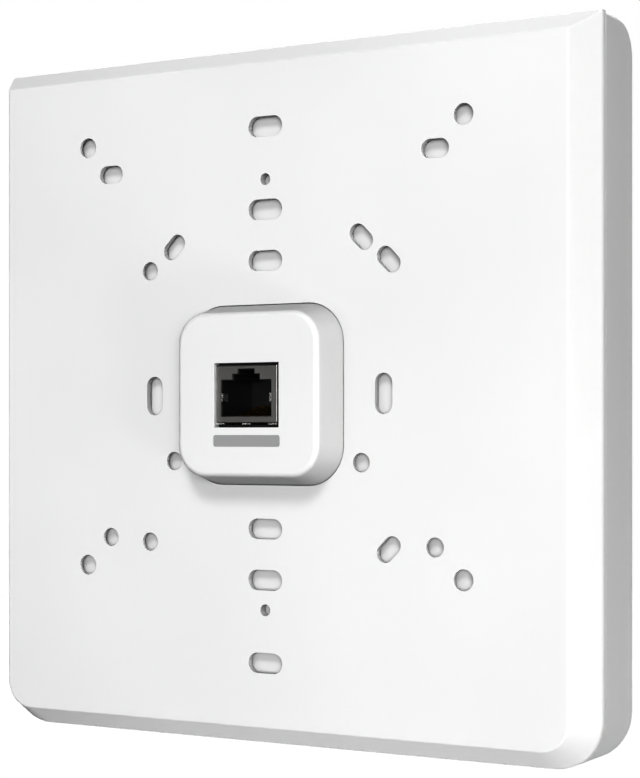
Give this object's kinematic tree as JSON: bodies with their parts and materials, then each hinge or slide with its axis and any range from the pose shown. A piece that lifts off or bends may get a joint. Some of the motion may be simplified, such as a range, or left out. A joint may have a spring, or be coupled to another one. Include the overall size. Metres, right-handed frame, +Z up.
{
  "type": "ceiling access point",
  "caption": "Square white wireless access point on its mounting plate, with a boss for a powered network port that enters the wall box.",
  "frame": {"origin": "centre of the mounting plate's flat back, midway between the two small holes on its centre line", "axes": "+Y into the wall, -Y into the room, +Z up as shown, +X to the right seen from the room"},
  "size_m": [0.1558, 0.033, 0.159],
  "materials": {
    "plate_white": "fine moulded texture",
    "housing_white": "fine moulded texture",
    "cover_white": "satin",
    "label_grey": "flat",
    "spring_steel": "bright",
    "screw_steel": "plated",
    "port_nickel": "nickel plated",
    "port_black": "moulded",
    "contact_gold": "gold plated",
    "gasket_rubber": "matte",
    "board_green": "solder mask",
    "heatsink_aluminium": "stamped",
    "pad_grey": "soft",
    "chip_black": "moulded",
    "ferrite": "sintered",
    "coil_tape": "wound tape",
    "module_black": "moulded",
    "capacitor_can": "sleeveless",
    "ceramic_tan": "fired",
    "spacer_brass": "turned",
    "plug_gold": "plated",
    "reflector_aluminium": "sheet",
    "carrier_plastic": "moulded",
    "lead_jacket": "smooth",
    "antenna_metal": "tin plated",
    "shield_tin": "tin plated",
    "lock_metal": "die cast",
    "button_plastic": "moulded",
    "switch_black": "moulded",
    "light_clear": "clear acrylic",
    "led_white": "diffuse"
  },
  "bodies": {
    "mounting_plate": {"mounting_plate": "plate_white", "plate_clips": "spring_steel"},
    "access_point": {"amplifiers": "chip_black", "antenna_1": "antenna_metal", "antenna_2": "antenna_metal", "antenna_3": "antenna_metal", "antenna_4": "antenna_metal", "antenna_carrier_1": "carrier_plastic", "antenna_carrier_2": "carrier_plastic", "antenna_carrier_3": "carrier_plastic", "antenna_carrier_4": "carrier_plastic", "antenna_lead_1": "lead_jacket", "antenna_lead_2": "lead_jacket", "antenna_lead_3": "lead_jacket", "antenna_lead_4": "lead_jacket", "board_screws": "screw_steel", "bulk_capacitors": "capacitor_can", "case_screws": "screw_steel", "front_cover": "cover_white", "heatsink": "heatsink_aluminium", "inductors": "ferrite", "jack_contacts": "contact_gold", "jack_insert": "port_black", "jack_shell": "port_nickel", "label_plate": "label_grey", "lead_plugs": "plug_gold", "lead_sockets": "plug_gold", "light_pipe": "light_clear", "magnetics_module": "module_black", "main_board": "board_green", "memory_chips": "chip_black", "network_chip": "chip_black", "port_gasket": "gasket_rubber", "port_springs": "spring_steel", "processor": "chip_black", "radio_chips": "chip_black", "rear_housing": "housing_white", "rectifiers": "chip_black", "reflector": "reflector_aluminium", "reflector_screws": "screw_steel", "reset_switch": "switch_black", "scan_antenna": "board_green", "scan_antenna_foot": "carrier_plastic", "shield_frame_left": "shield_tin", "shield_frame_main": "shield_tin", "shield_frame_right": "shield_tin", "shield_lid_left": "shield_tin", "shield_lid_main": "shield_tin", "shield_lid_right": "shield_tin", "small_parts": "ceramic_tan", "spacers": "spacer_brass", "status_light": "led_white", "thermal_pads": "pad_grey", "transformer_coil": "coil_tape", "transformer_core": "ferrite"},
    "reset": {"reset_button": "button_plastic"},
    "lock": {"lock_barrel": "lock_metal", "lock_arm": "lock_metal", "lock_screw": "screw_steel"}
  },
  "joints": [
    {"name": "unit_pull_off", "type": "slide", "parent": "mounting_plate", "child": "access_point", "axis": [0, -1, 0], "range_m": [0, 0.04]},
    {"name": "reset_press", "type": "slide", "parent": "access_point", "child": "reset", "axis": [0, 0, 1], "range_m": [0, 0.0008], "stiffness_N_per_m": 150, "springref_m": -0.0006},
    {"name": "lock_turn", "type": "hinge", "parent": "access_point", "child": "lock", "pos_m": [-0.022, -0.0145, -0.0706], "axis": [0, 0, -1], "range_deg": [0, 90]}
  ]
}
